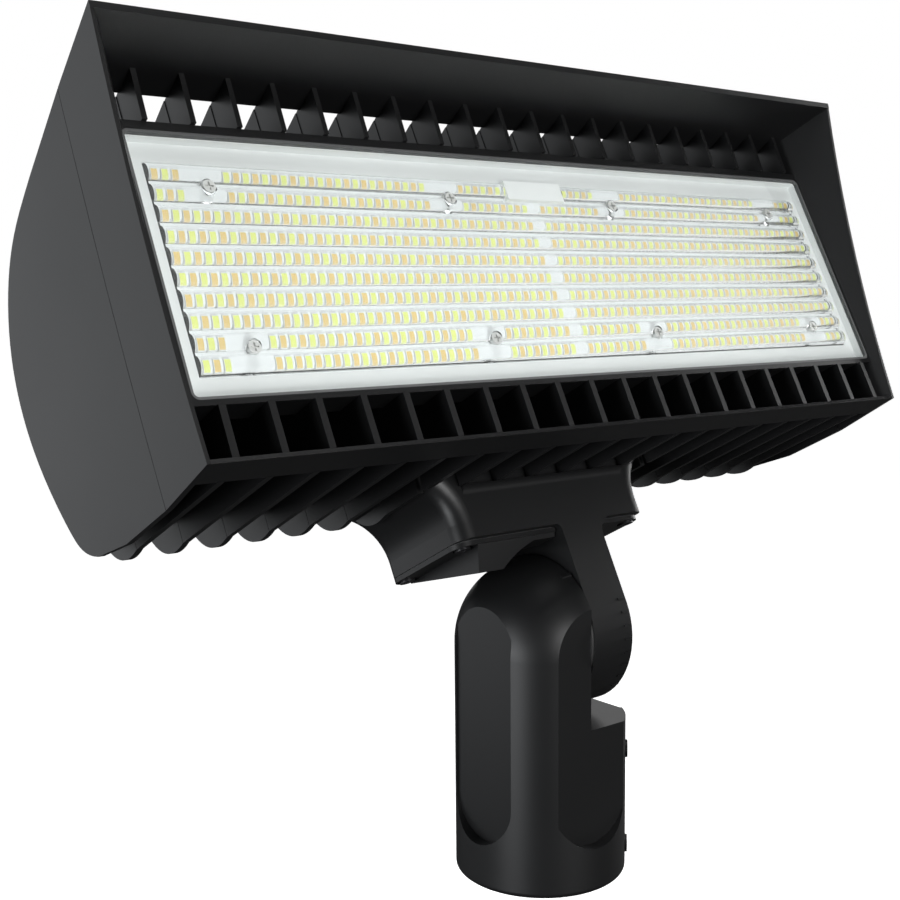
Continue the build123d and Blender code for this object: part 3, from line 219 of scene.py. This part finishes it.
class StageSettings(bpy.types.PropertyGroup):
    """Camera, floor and the backdrop's own light."""

    lens: bpy.props.FloatProperty(
        name="Lens",
        description="Focal length on a 36 mm wide sensor, in millimetres",
        default=52.75,
        min=10.0,
    )
    place: bpy.props.FloatVectorProperty(
        name="Camera place",
        description="Where the camera stands",
        subtype="TRANSLATION",
        unit="LENGTH",
        size=3,
        default=(-0.3999, -0.4315, 0.2619),
    )
    target: bpy.props.FloatVectorProperty(
        name="Camera target",
        description="The point at the middle of the picture",
        subtype="TRANSLATION",
        unit="LENGTH",
        size=3,
        default=(-0.02563, 0.03227, 0.19233),
    )
    roll: bpy.props.FloatProperty(
        name="Camera roll",
        description="Turn of the camera about its own axis",
        subtype="ANGLE",
        default=radians(-0.502),
    )
    floor_height: bpy.props.FloatProperty(
        name="Floor height",
        description="Height of the floor, from the tenon bore's open mouth",
        default=-0.60,
        unit="LENGTH",
    )
    fill: bpy.props.FloatProperty(
        name="Fill",
        description="Strength of the backdrop's own light on the part",
        default=0.004,
        min=0.0,
    )


def new_group(name, inputs, outputs):
    """Shader node group with the given inputs and outputs, and nothing between them yet."""
    group = bpy.data.node_groups.new(name, "ShaderNodeTree")
    for label, kind, default in inputs:
        socket = group.interface.new_socket(label, in_out="INPUT", socket_type=kind)
        socket.default_value = default
    for label, kind in outputs:
        group.interface.new_socket(label, in_out="OUTPUT", socket_type=kind)
    group.nodes.new("NodeGroupInput").name = "in"
    group.nodes.new("NodeGroupOutput").name = "out"
    return group


def grain_group():
    """Fine grain of a finish: a bump height, and a slow change of roughness and colour."""
    if "Fine grain" in bpy.data.node_groups:
        return bpy.data.node_groups["Fine grain"]
    group = new_group(
        "Fine grain",
        [
            ("Grain scale", "NodeSocketFloat", FINE_GRAIN),
            ("Mottle scale", "NodeSocketFloat", MOTTLE),
            ("Roughness", "NodeSocketFloat", 0.5),
            ("Roughness swing", "NodeSocketFloat", ROUGHNESS_SWING),
            ("Colour", "NodeSocketColor", (0.5, 0.5, 0.5, 1.0)),
            ("Colour swing", "NodeSocketFloat", COLOUR_SWING),
        ],
        [
            ("Height", "NodeSocketFloat"),
            ("Roughness", "NodeSocketFloat"),
            ("Colour", "NodeSocketColor"),
        ],
    )
    nodes, links = group.nodes, group.links
    entry, result = nodes["in"], nodes["out"]
    place = nodes.new("ShaderNodeTexCoord")
    fine = nodes.new("ShaderNodeTexNoise")
    fine.inputs["Detail"].default_value = 2.0
    slow = nodes.new("ShaderNodeTexNoise")
    slow.inputs["Detail"].default_value = 4.0
    links.new(place.outputs["Object"], fine.inputs["Vector"])
    links.new(place.outputs["Object"], slow.inputs["Vector"])
    links.new(entry.outputs["Grain scale"], fine.inputs["Scale"])
    links.new(entry.outputs["Mottle scale"], slow.inputs["Scale"])
    links.new(fine.outputs["Fac"], result.inputs["Height"])

    centred = nodes.new("ShaderNodeMath")
    centred.operation = "SUBTRACT"
    centred.inputs[1].default_value = NOISE_MIDDLE
    links.new(slow.outputs["Fac"], centred.inputs[0])
    swing = nodes.new("ShaderNodeMath")
    swing.operation = "MULTIPLY_ADD"
    links.new(centred.outputs[0], swing.inputs[0])
    links.new(entry.outputs["Roughness swing"], swing.inputs[1])
    links.new(entry.outputs["Roughness"], swing.inputs[2])
    links.new(swing.outputs[0], result.inputs["Roughness"])

    gain = nodes.new("ShaderNodeMath")
    gain.operation = "MULTIPLY_ADD"
    gain.inputs[2].default_value = 1.0
    links.new(centred.outputs[0], gain.inputs[0])
    links.new(entry.outputs["Colour swing"], gain.inputs[1])
    tint = nodes.new("ShaderNodeVectorMath")
    tint.operation = "SCALE"
    links.new(entry.outputs["Colour"], tint.inputs[0])
    links.new(gain.outputs[0], tint.inputs["Scale"])
    links.new(tint.outputs[0], result.inputs["Colour"])
    return group


def grained(name, colour, roughness, grain=FINE_GRAIN, depth=BUMP_STRENGTH, **sockets):
    """Principled material whose colour, roughness and bump come from the fine grain group."""
    material = bpy.data.materials.new(name)
    material.use_nodes = True
    nodes, links = material.node_tree.nodes, material.node_tree.links
    shader = nodes["Principled BSDF"]
    grain_node = nodes.new("ShaderNodeGroup")
    grain_node.node_tree = grain_group()
    grain_node.inputs["Grain scale"].default_value = grain
    grain_node.inputs["Colour"].default_value = (*colour, 1.0)
    grain_node.inputs["Roughness"].default_value = roughness
    bump = nodes.new("ShaderNodeBump")
    bump.inputs["Strength"].default_value = depth
    bump.inputs["Distance"].default_value = BUMP_DISTANCE
    links.new(grain_node.outputs["Colour"], shader.inputs["Base Color"])
    links.new(grain_node.outputs["Roughness"], shader.inputs["Roughness"])
    links.new(grain_node.outputs["Height"], bump.inputs["Height"])
    links.new(bump.outputs["Normal"], shader.inputs["Normal"])
    for label, value in sockets.items():
        shader.inputs[label.replace("_", " ")].default_value = value
    return material


def clear(name, colour, ior):
    """Clear glass or acrylic that lets the lamps through."""
    material = bpy.data.materials.new(name)
    material.use_nodes = True
    nodes, links = material.node_tree.nodes, material.node_tree.links
    shader = nodes["Principled BSDF"]
    shader.inputs["Base Color"].default_value = (*colour, 1.0)
    shader.inputs["Roughness"].default_value = 0.0
    shader.inputs["IOR"].default_value = ior
    shader.inputs["Transmission Weight"].default_value = 1.0
    through = nodes.new("ShaderNodeBsdfTransparent")
    through.inputs["Color"].default_value = (*colour, 1.0)
    path = nodes.new("ShaderNodeLightPath")
    lamp_or_diffuse = nodes.new("ShaderNodeMath")
    lamp_or_diffuse.operation = "MAXIMUM"
    links.new(path.outputs["Is Shadow Ray"], lamp_or_diffuse.inputs[0])
    links.new(path.outputs["Is Diffuse Ray"], lamp_or_diffuse.inputs[1])
    mix = nodes.new("ShaderNodeMixShader")
    links.new(lamp_or_diffuse.outputs[0], mix.inputs[0])
    links.new(shader.outputs[0], mix.inputs[1])
    links.new(through.outputs[0], mix.inputs[2])
    links.new(mix.outputs[0], nodes["Material Output"].inputs["Surface"])
    return material


def dress(material, *names):
    """Give CAD nodes a material."""
    for name in names:
        for slot in NODES[name].material_slots:
            slot.material = material


def finish_piece(name, mesh, materials, body, smooth_angle=None):
    """Put a finished mesh in the scene on its body."""
    piece = bpy.data.objects.new(name, mesh)
    bpy.context.scene.collection.objects.link(piece)
    for material in materials:
        mesh.materials.append(material)
    if smooth_angle is not None:
        mesh.shade_smooth()
        mesh.set_sharp_from_angle(angle=smooth_angle)
    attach(piece, body)
    return piece


def mesh_from(bm, name):
    """Mesh datablock from a bmesh, with its normals turned outwards."""
    bmesh.ops.recalc_face_normals(bm, faces=bm.faces)
    mesh = bpy.data.meshes.new(name)
    bm.to_mesh(mesh)
    bm.free()
    return mesh


class FLOODLIGHT_OT_castings(bpy.types.Operator):
    """Powder coat on the castings and covers"""

    bl_idname = "floodlight.castings"
    bl_label = "Castings"

    def execute(self, context):
        settings = context.scene.floodlight_finish
        coat = grained(
            "powder_coat",
            settings.coat_colour,
            settings.coat_roughness,
            Specular_IOR_Level=0.5,
        )
        dress(coat, "front_housing", "rear_housing", "slipfitter", "driver_cover", "wiring_cover")
        return {"FINISHED"}


class FLOODLIGHT_OT_hardware(bpy.types.Operator):
    """Finishes of the screws, washers, seals and inner pieces"""

    bl_idname = "floodlight.hardware"
    bl_label = "Hardware"

    def execute(self, context):
        steel = grained("zinc_steel", (0.62, 0.62, 0.61), 0.3, grain=400.0, Metallic=1.0)
        black_steel = grained("black_oxide_steel", (0.03, 0.03, 0.032), 0.35, Metallic=0.6)
        rubber = grained("black_rubber", (0.012, 0.012, 0.012), 0.7)
        silicone = grained("grey_silicone", (0.127, 0.130, 0.131), 0.6)
        white = grained("white_plastic", (0.80, 0.81, 0.81), 0.4)
        case = grained("driver_case", (0.70, 0.71, 0.72), 0.35, Metallic=1.0)
        blue = grained("blue_plastic", (0.03, 0.10, 0.35), 0.3)
        pad = grained("thermal_pad", (0.45, 0.50, 0.55), 0.8)
        lead = grained("silicone_lead", (0.50, 0.05, 0.04), 0.6)
        dress(steel, "driver_screws", "ground_screw", "lens_screws")
        dress(steel, "friction_washer", "pivot_washer")
        dress(black_steel, "driver_cover_screws", "housing_screws", "wiring_cover_screws")
        dress(black_steel, "set_screws", "pivot_bolt")
        dress(rubber, "vent_plug", "box_grommet", "wire_grommet")
        dress(silicone, "glass_seal", "lead_seal", "driver_cover_gasket", "wiring_cover_gasket")
        dress(white, "connector_cover", "terminal_block")
        dress(case, "driver")
        dress(blue, "surge_protector")
        dress(pad, "thermal_pads")
        dress(lead, "led_leads")
        return {"FINISHED"}


class FLOODLIGHT_OT_reflector(bpy.types.Operator):
    """White reflector frame and board"""

    bl_idname = "floodlight.reflector"
    bl_label = "Reflector and board"

    def execute(self, context):
        dress(grained("reflector_white", (0.70, 0.71, 0.71), 0.45), "reflector_frame")
        dress(grained("white_solder_mask", (0.86, 0.87, 0.87), 0.35), "led_board")
        return {"FINISHED"}


def left_free(x, z):
    """Whether a lens screw or the connector cover leaves no room for a chip at this place."""
    if abs(x) < CONNECTOR_CLEAR_X and abs(z - CONNECTOR_Z) < CONNECTOR_CLEAR_Z:
        return True
    if abs(abs(z) - LENS_SCREW_Z) >= SCREW_CLEAR_Z:
        return False
    return any(abs(x - screw_x) < SCREW_CLEAR_X for screw_x in LENS_SCREWS_X)


def chip_places():
    """Row by row, the X and Z of every chip and whether it is a cool one."""
    for row in range(ROWS):
        row_z = ROW_PITCH * (row - (ROWS - 1) / 2)
        for side, count, pitch in CHIP_RUNS:
            for column in range(count):
                x = side * (OUTER_CHIP_X - pitch * column)
                if not left_free(x, row_z):
                    yield x, row_z, (column + row) % 2 == 0


class FLOODLIGHT_OT_chips(bpy.types.Operator):
    """LED chips, cool and warm ones in turn along each row"""

    bl_idname = "floodlight.chips"
    bl_label = "LED chips"

    def execute(self, context):
        sizes = context.scene.floodlight_engine
        colours = context.scene.floodlight_finish
        package = grained("chip_package", (0.80, 0.80, 0.78), 0.4)
        tints = {True: ("cool", colours.cool_chip), False: ("warm", colours.warm_chip)}
        for cool, (label, colour) in tints.items():
            bm = bmesh.new()
            for x, z, is_cool in chip_places():
                if is_cool != cool:
                    continue
                place = HEAD @ Matrix.Translation((x, BOARD_FRONT - sizes.chip_rise / 2, z))
                size = Matrix.Diagonal((sizes.chip_width, sizes.chip_rise, sizes.chip_height, 1.0))
                bmesh.ops.create_cube(bm, size=1.0, matrix=place @ size)
            front = HEAD.to_3x3() @ Vector((0, -1, 0))
            windows = [face for face in bm.faces if face.normal.dot(front) > FRONT_SHARE]
            bmesh.ops.inset_individual(
                bm,
                faces=windows,
                thickness=CHIP_RIM,
                use_even_offset=True,
            )
            for face in windows:
                face.material_index = 1
            phosphor = grained(
                f"{label}_phosphor",
                colour,
                0.5,
                grain=PHOSPHOR_GRAIN,
                depth=PHOSPHOR_BUMP,
            )
            mesh = mesh_from(bm, f"{label}_chips")
            piece = finish_piece(f"{label}_chips", mesh, [package, phosphor], "head")
            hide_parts("led_chips")
        return {"FINISHED"}


def ridged_bar(half_width, rise, steps):
    """Closed bar along X with the lens sheet's ridged section, in the head's frame."""
    low = -LENS_HEIGHT / 2
    chord = ROW_PITCH / 2 - RIDGE_GAP
    radius = (chord**2 + rise**2) / (2 * rise)
    spread = asin(chord / radius)
    outline = [(LENS_BACK, low)]
    for ridge in range(ROWS):
        middle = low + ROW_PITCH * (ridge + 0.5)
        for step in range(steps + 1):
            angle = spread * (2 * step / steps - 1)
            depth = LENS_FACE + radius - rise - radius * cos(angle)
            outline.append((depth, middle + radius * sin(angle)))
    outline.append((LENS_BACK, -low))
    bm = bmesh.new()
    section = bm.faces.new([bm.verts.new((-half_width, y, z)) for y, z in outline])
    swept = bmesh.ops.extrude_face_region(bm, geom=[section])["geom"]
    far_end = [item for item in swept if isinstance(item, bmesh.types.BMVert)]
    bmesh.ops.translate(bm, verts=far_end, vec=(2 * half_width, 0, 0))
    return bm


def lens_cutter():
    """The screws' pockets and holes and the connector cover's notch in the lens sheet."""
    bores = (
        (POCKET_RADIUS, POCKET_FRONT, LENS_FACE),
        (HOLE_RADIUS, -HOLE_REACH, HOLE_REACH),
    )
    quarter_turn = Matrix.Rotation(radians(90), 4, "X")
    bm = bmesh.new()
    for screw_x in LENS_SCREWS_X:
        for screw_z in (-LENS_SCREW_Z, LENS_SCREW_Z):
            for radius, front, back in bores:
                place = Matrix.Translation((screw_x, (front + back) / 2, screw_z))
                bmesh.ops.create_cone(
                    bm,
                    cap_ends=True,
                    segments=HOLE_SEGMENTS,
                    radius1=radius,
                    radius2=radius,
                    depth=back - front,
                    matrix=place @ quarter_turn,
                )
    place = Matrix.Translation((0, 0, CONNECTOR_Z + NOTCH_HEIGHT / 2 - NOTCH_BELOW))
    size = Matrix.Diagonal((2 * NOTCH_HALF, NOTCH_DEPTH, NOTCH_HEIGHT, 1.0))
    bmesh.ops.create_cube(bm, size=1.0, matrix=place @ size)
    return bm


def carved(body_bm, cutter_bm, name):
    """Mesh of the body with the cutter's shape taken out of it."""
    pieces = []
    for label, bm in (("body", body_bm), ("cutter", cutter_bm)):
        piece = bpy.data.objects.new(label, mesh_from(bm, label))
        bpy.context.scene.collection.objects.link(piece)
        pieces.append(piece)
    body, cutter = pieces
    holes = body.modifiers.new("holes", "BOOLEAN")
    holes.operation = "DIFFERENCE"
    holes.solver = "EXACT"
    holes.use_self = True
    holes.object = cutter
    graph = bpy.context.evaluated_depsgraph_get()
    mesh = bpy.data.meshes.new_from_object(body.evaluated_get(graph))
    mesh.name = name
    for piece in pieces:
        data = piece.data
        bpy.data.objects.remove(piece)
        bpy.data.meshes.remove(data)
    return mesh


class FLOODLIGHT_OT_lens(bpy.types.Operator):
    """Clear lens sheet with a smooth ridge over every row"""

    bl_idname = "floodlight.lens"
    bl_label = "Lens sheet"

    def execute(self, context):
        sizes = context.scene.floodlight_engine
        bar = ridged_bar(LENS_HALF, sizes.ridge_rise, sizes.ridge_steps)
        mesh = carved(bar, lens_cutter(), "lens_ridges")
        mesh.transform(HEAD)
        acrylic = clear("acrylic", (0.98, 0.985, 0.99), 1.49)
        piece = finish_piece("lens_ridges", mesh, [acrylic], "head", SMOOTH_ANGLE)
        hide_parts("lens_sheet")
        return {"FINISHED"}


class FLOODLIGHT_OT_glass(bpy.types.Operator):
    """Tempered glass cover"""

    bl_idname = "floodlight.glass"
    bl_label = "Glass cover"

    def execute(self, context):
        dress(clear("tempered_glass", (0.97, 0.985, 0.98), 1.45), "glass_cover")
        return {"FINISHED"}


def area_lamp(name, place, size, power, colour):
    """Soft square lamp aimed at the part."""
    lamp = bpy.data.lights.new(name, "AREA")
    lamp.shape = "RECTANGLE"
    lamp.size = lamp.size_y = size
    lamp.energy = power
    lamp.color = colour
    piece = bpy.data.objects.new(name, lamp)
    bpy.context.scene.collection.objects.link(piece)
    piece.location = place
    aim = Vector(LAMP_TARGET) - Vector(place)
    piece.rotation_euler = aim.to_track_quat("-Z", "Y").to_euler()
    return piece


def seen_directly(nodes, links):
    """Value of 1 for rays from the camera, straight or through glass, and 0 for others."""
    path = nodes.new("ShaderNodeLightPath")
    seen = nodes.new("ShaderNodeMath")
    seen.operation = "MAXIMUM"
    links.new(path.outputs["Is Camera Ray"], seen.inputs[0])
    links.new(path.outputs["Is Transmission Ray"], seen.inputs[1])
    return seen.outputs[0]


def studio_world(fill):
    """White backdrop that gives only a weak fill light."""
    world = bpy.data.worlds.new("studio")
    world.use_nodes = True
    nodes, links = world.node_tree.nodes, world.node_tree.links
    background = nodes["Background"]
    background.inputs["Color"].default_value = (1.0, 1.0, 1.0, 1.0)
    strength = nodes.new("ShaderNodeMapRange")
    strength.inputs["To Min"].default_value = fill
    strength.inputs["To Max"].default_value = 1.0
    links.new(seen_directly(nodes, links), strength.inputs["Value"])
    links.new(strength.outputs[0], background.inputs["Strength"])
    return world


def studio_floor(height):
    """Pale floor that shows the part's shadow and fades into the white backdrop."""
    bm = bmesh.new()
    bmesh.ops.create_grid(bm, x_segments=1, y_segments=1, size=FLOOR_SIZE)
    mesh = bpy.data.meshes.new("floor")
    bm.to_mesh(mesh)
    bm.free()
    floor = bpy.data.objects.new("floor", mesh)
    floor.location = (0, 0, height)
    pale = bpy.data.materials.new("pale_floor")
    pale.use_nodes = True
    nodes, links = pale.node_tree.nodes, pale.node_tree.links
    shader = nodes["Principled BSDF"]
    shader.inputs["Roughness"].default_value = 0.9
    shader.inputs["Specular IOR Level"].default_value = 0.0
    shader.inputs["Emission Color"].default_value = (1.0, 1.0, 1.0, 1.0)
    seen = seen_directly(nodes, links)
    tone = nodes.new("ShaderNodeMapRange")
    tone.inputs["To Min"].default_value = UNSEEN_FLOOR_TONE
    tone.inputs["To Max"].default_value = SEEN_FLOOR_TONE
    links.new(seen, tone.inputs["Value"])
    links.new(tone.outputs[0], shader.inputs["Base Color"])
    place = nodes.new("ShaderNodeTexCoord")
    reach = nodes.new("ShaderNodeVectorMath")
    reach.operation = "LENGTH"
    links.new(place.outputs["Object"], reach.inputs[0])
    fade = nodes.new("ShaderNodeMapRange")
    fade.interpolation_type = "SMOOTHSTEP"
    fade.inputs["From Min"].default_value = GLOW_START
    fade.inputs["From Max"].default_value = GLOW_END
    fade.inputs["To Min"].default_value = NEAR_GLOW
    fade.inputs["To Max"].default_value = FAR_GLOW
    links.new(reach.outputs["Value"], fade.inputs["Value"])
    glow = nodes.new("ShaderNodeMath")
    glow.operation = "MULTIPLY"
    links.new(seen, glow.inputs[0])
    links.new(fade.outputs[0], glow.inputs[1])
    links.new(glow.outputs[0], shader.inputs["Emission Strength"])
    mesh.materials.append(pale)
    return floor


class FLOODLIGHT_OT_stage(bpy.types.Operator):
    """Pale floor, soft lamps and the camera"""

    bl_idname = "floodlight.stage"
    bl_label = "Stage"

    def execute(self, context):
        settings = context.scene.floodlight_stage
        scene = context.scene
        scene.view_settings.view_transform = "Standard"

        scene.world = studio_world(settings.fill)
        scene.collection.objects.link(studio_floor(settings.floor_height))
        for name, place, size, power, colour in LAMPS:
            area_lamp(name, place, size, power, colour)
        lamp = area_lamp(*ENGINE_LAMP)
        lit = bpy.data.collections.new("lit by the engine fill")
        for label in ENGINE_PIECES:
            lit.objects.link(bpy.data.objects[label])
        lamp.light_linking.receiver_collection = lit

        camera_data = bpy.data.cameras.new("camera")
        camera_data.lens = settings.lens
        camera_data.sensor_width = SENSOR_WIDTH
        camera = bpy.data.objects.new("camera", camera_data)
        scene.collection.objects.link(camera)
        place = Vector(settings.place)
        aim = Vector(settings.target) - place
        turn = aim.to_track_quat("-Z", "Y").to_matrix().to_4x4()
        turn = turn @ Matrix.Rotation(settings.roll, 4, "Z")
        camera.matrix_world = Matrix.Translation(place) @ turn
        scene.camera = camera
        return {"FINISHED"}


OPERATORS = (
    FLOODLIGHT_OT_castings,
    FLOODLIGHT_OT_hardware,
    FLOODLIGHT_OT_reflector,
    FLOODLIGHT_OT_chips,
    FLOODLIGHT_OT_lens,
    FLOODLIGHT_OT_glass,
    FLOODLIGHT_OT_stage,
)
SETTINGS = {
    "floodlight_finish": FinishSettings,
    "floodlight_engine": LightEngineSettings,
    "floodlight_stage": StageSettings,
}


class FLOODLIGHT_PT_panel(bpy.types.Panel):
    """Sidebar panel of the floodlight"""

    bl_idname = "FLOODLIGHT_PT_panel"
    bl_label = "Floodlight"
    bl_space_type = "VIEW_3D"
    bl_region_type = "UI"
    bl_category = "Floodlight"

    def draw(self, context):
        for group, settings in SETTINGS.items():
            box = self.layout.box()
            for name in settings.__annotations__:
                box.prop(getattr(context.scene, group), name)
        for operator in OPERATORS:
            self.layout.operator(operator.bl_idname)


def register():
    """Register the settings, the operators and the panel."""
    for settings in SETTINGS.values():
        bpy.utils.register_class(settings)
    for operator in OPERATORS:
        bpy.utils.register_class(operator)
    bpy.utils.register_class(FLOODLIGHT_PT_panel)
    for name, settings in SETTINGS.items():
        setattr(bpy.types.Scene, name, bpy.props.PointerProperty(type=settings))


def unregister():
    """Remove them again."""
    for name in SETTINGS:
        delattr(bpy.types.Scene, name)
    bpy.utils.unregister_class(FLOODLIGHT_PT_panel)
    for operator in reversed(OPERATORS):
        bpy.utils.unregister_class(operator)
    for settings in reversed(list(SETTINGS.values())):
        bpy.utils.unregister_class(settings)


def main():
    """Dress the part and set the stage."""
    register()
    bpy.ops.floodlight.castings()
    bpy.ops.floodlight.hardware()
    bpy.ops.floodlight.reflector()
    bpy.ops.floodlight.chips()
    bpy.ops.floodlight.lens()
    bpy.ops.floodlight.glass()
    bpy.ops.floodlight.stage()


if __name__ == "__main__":
    main()
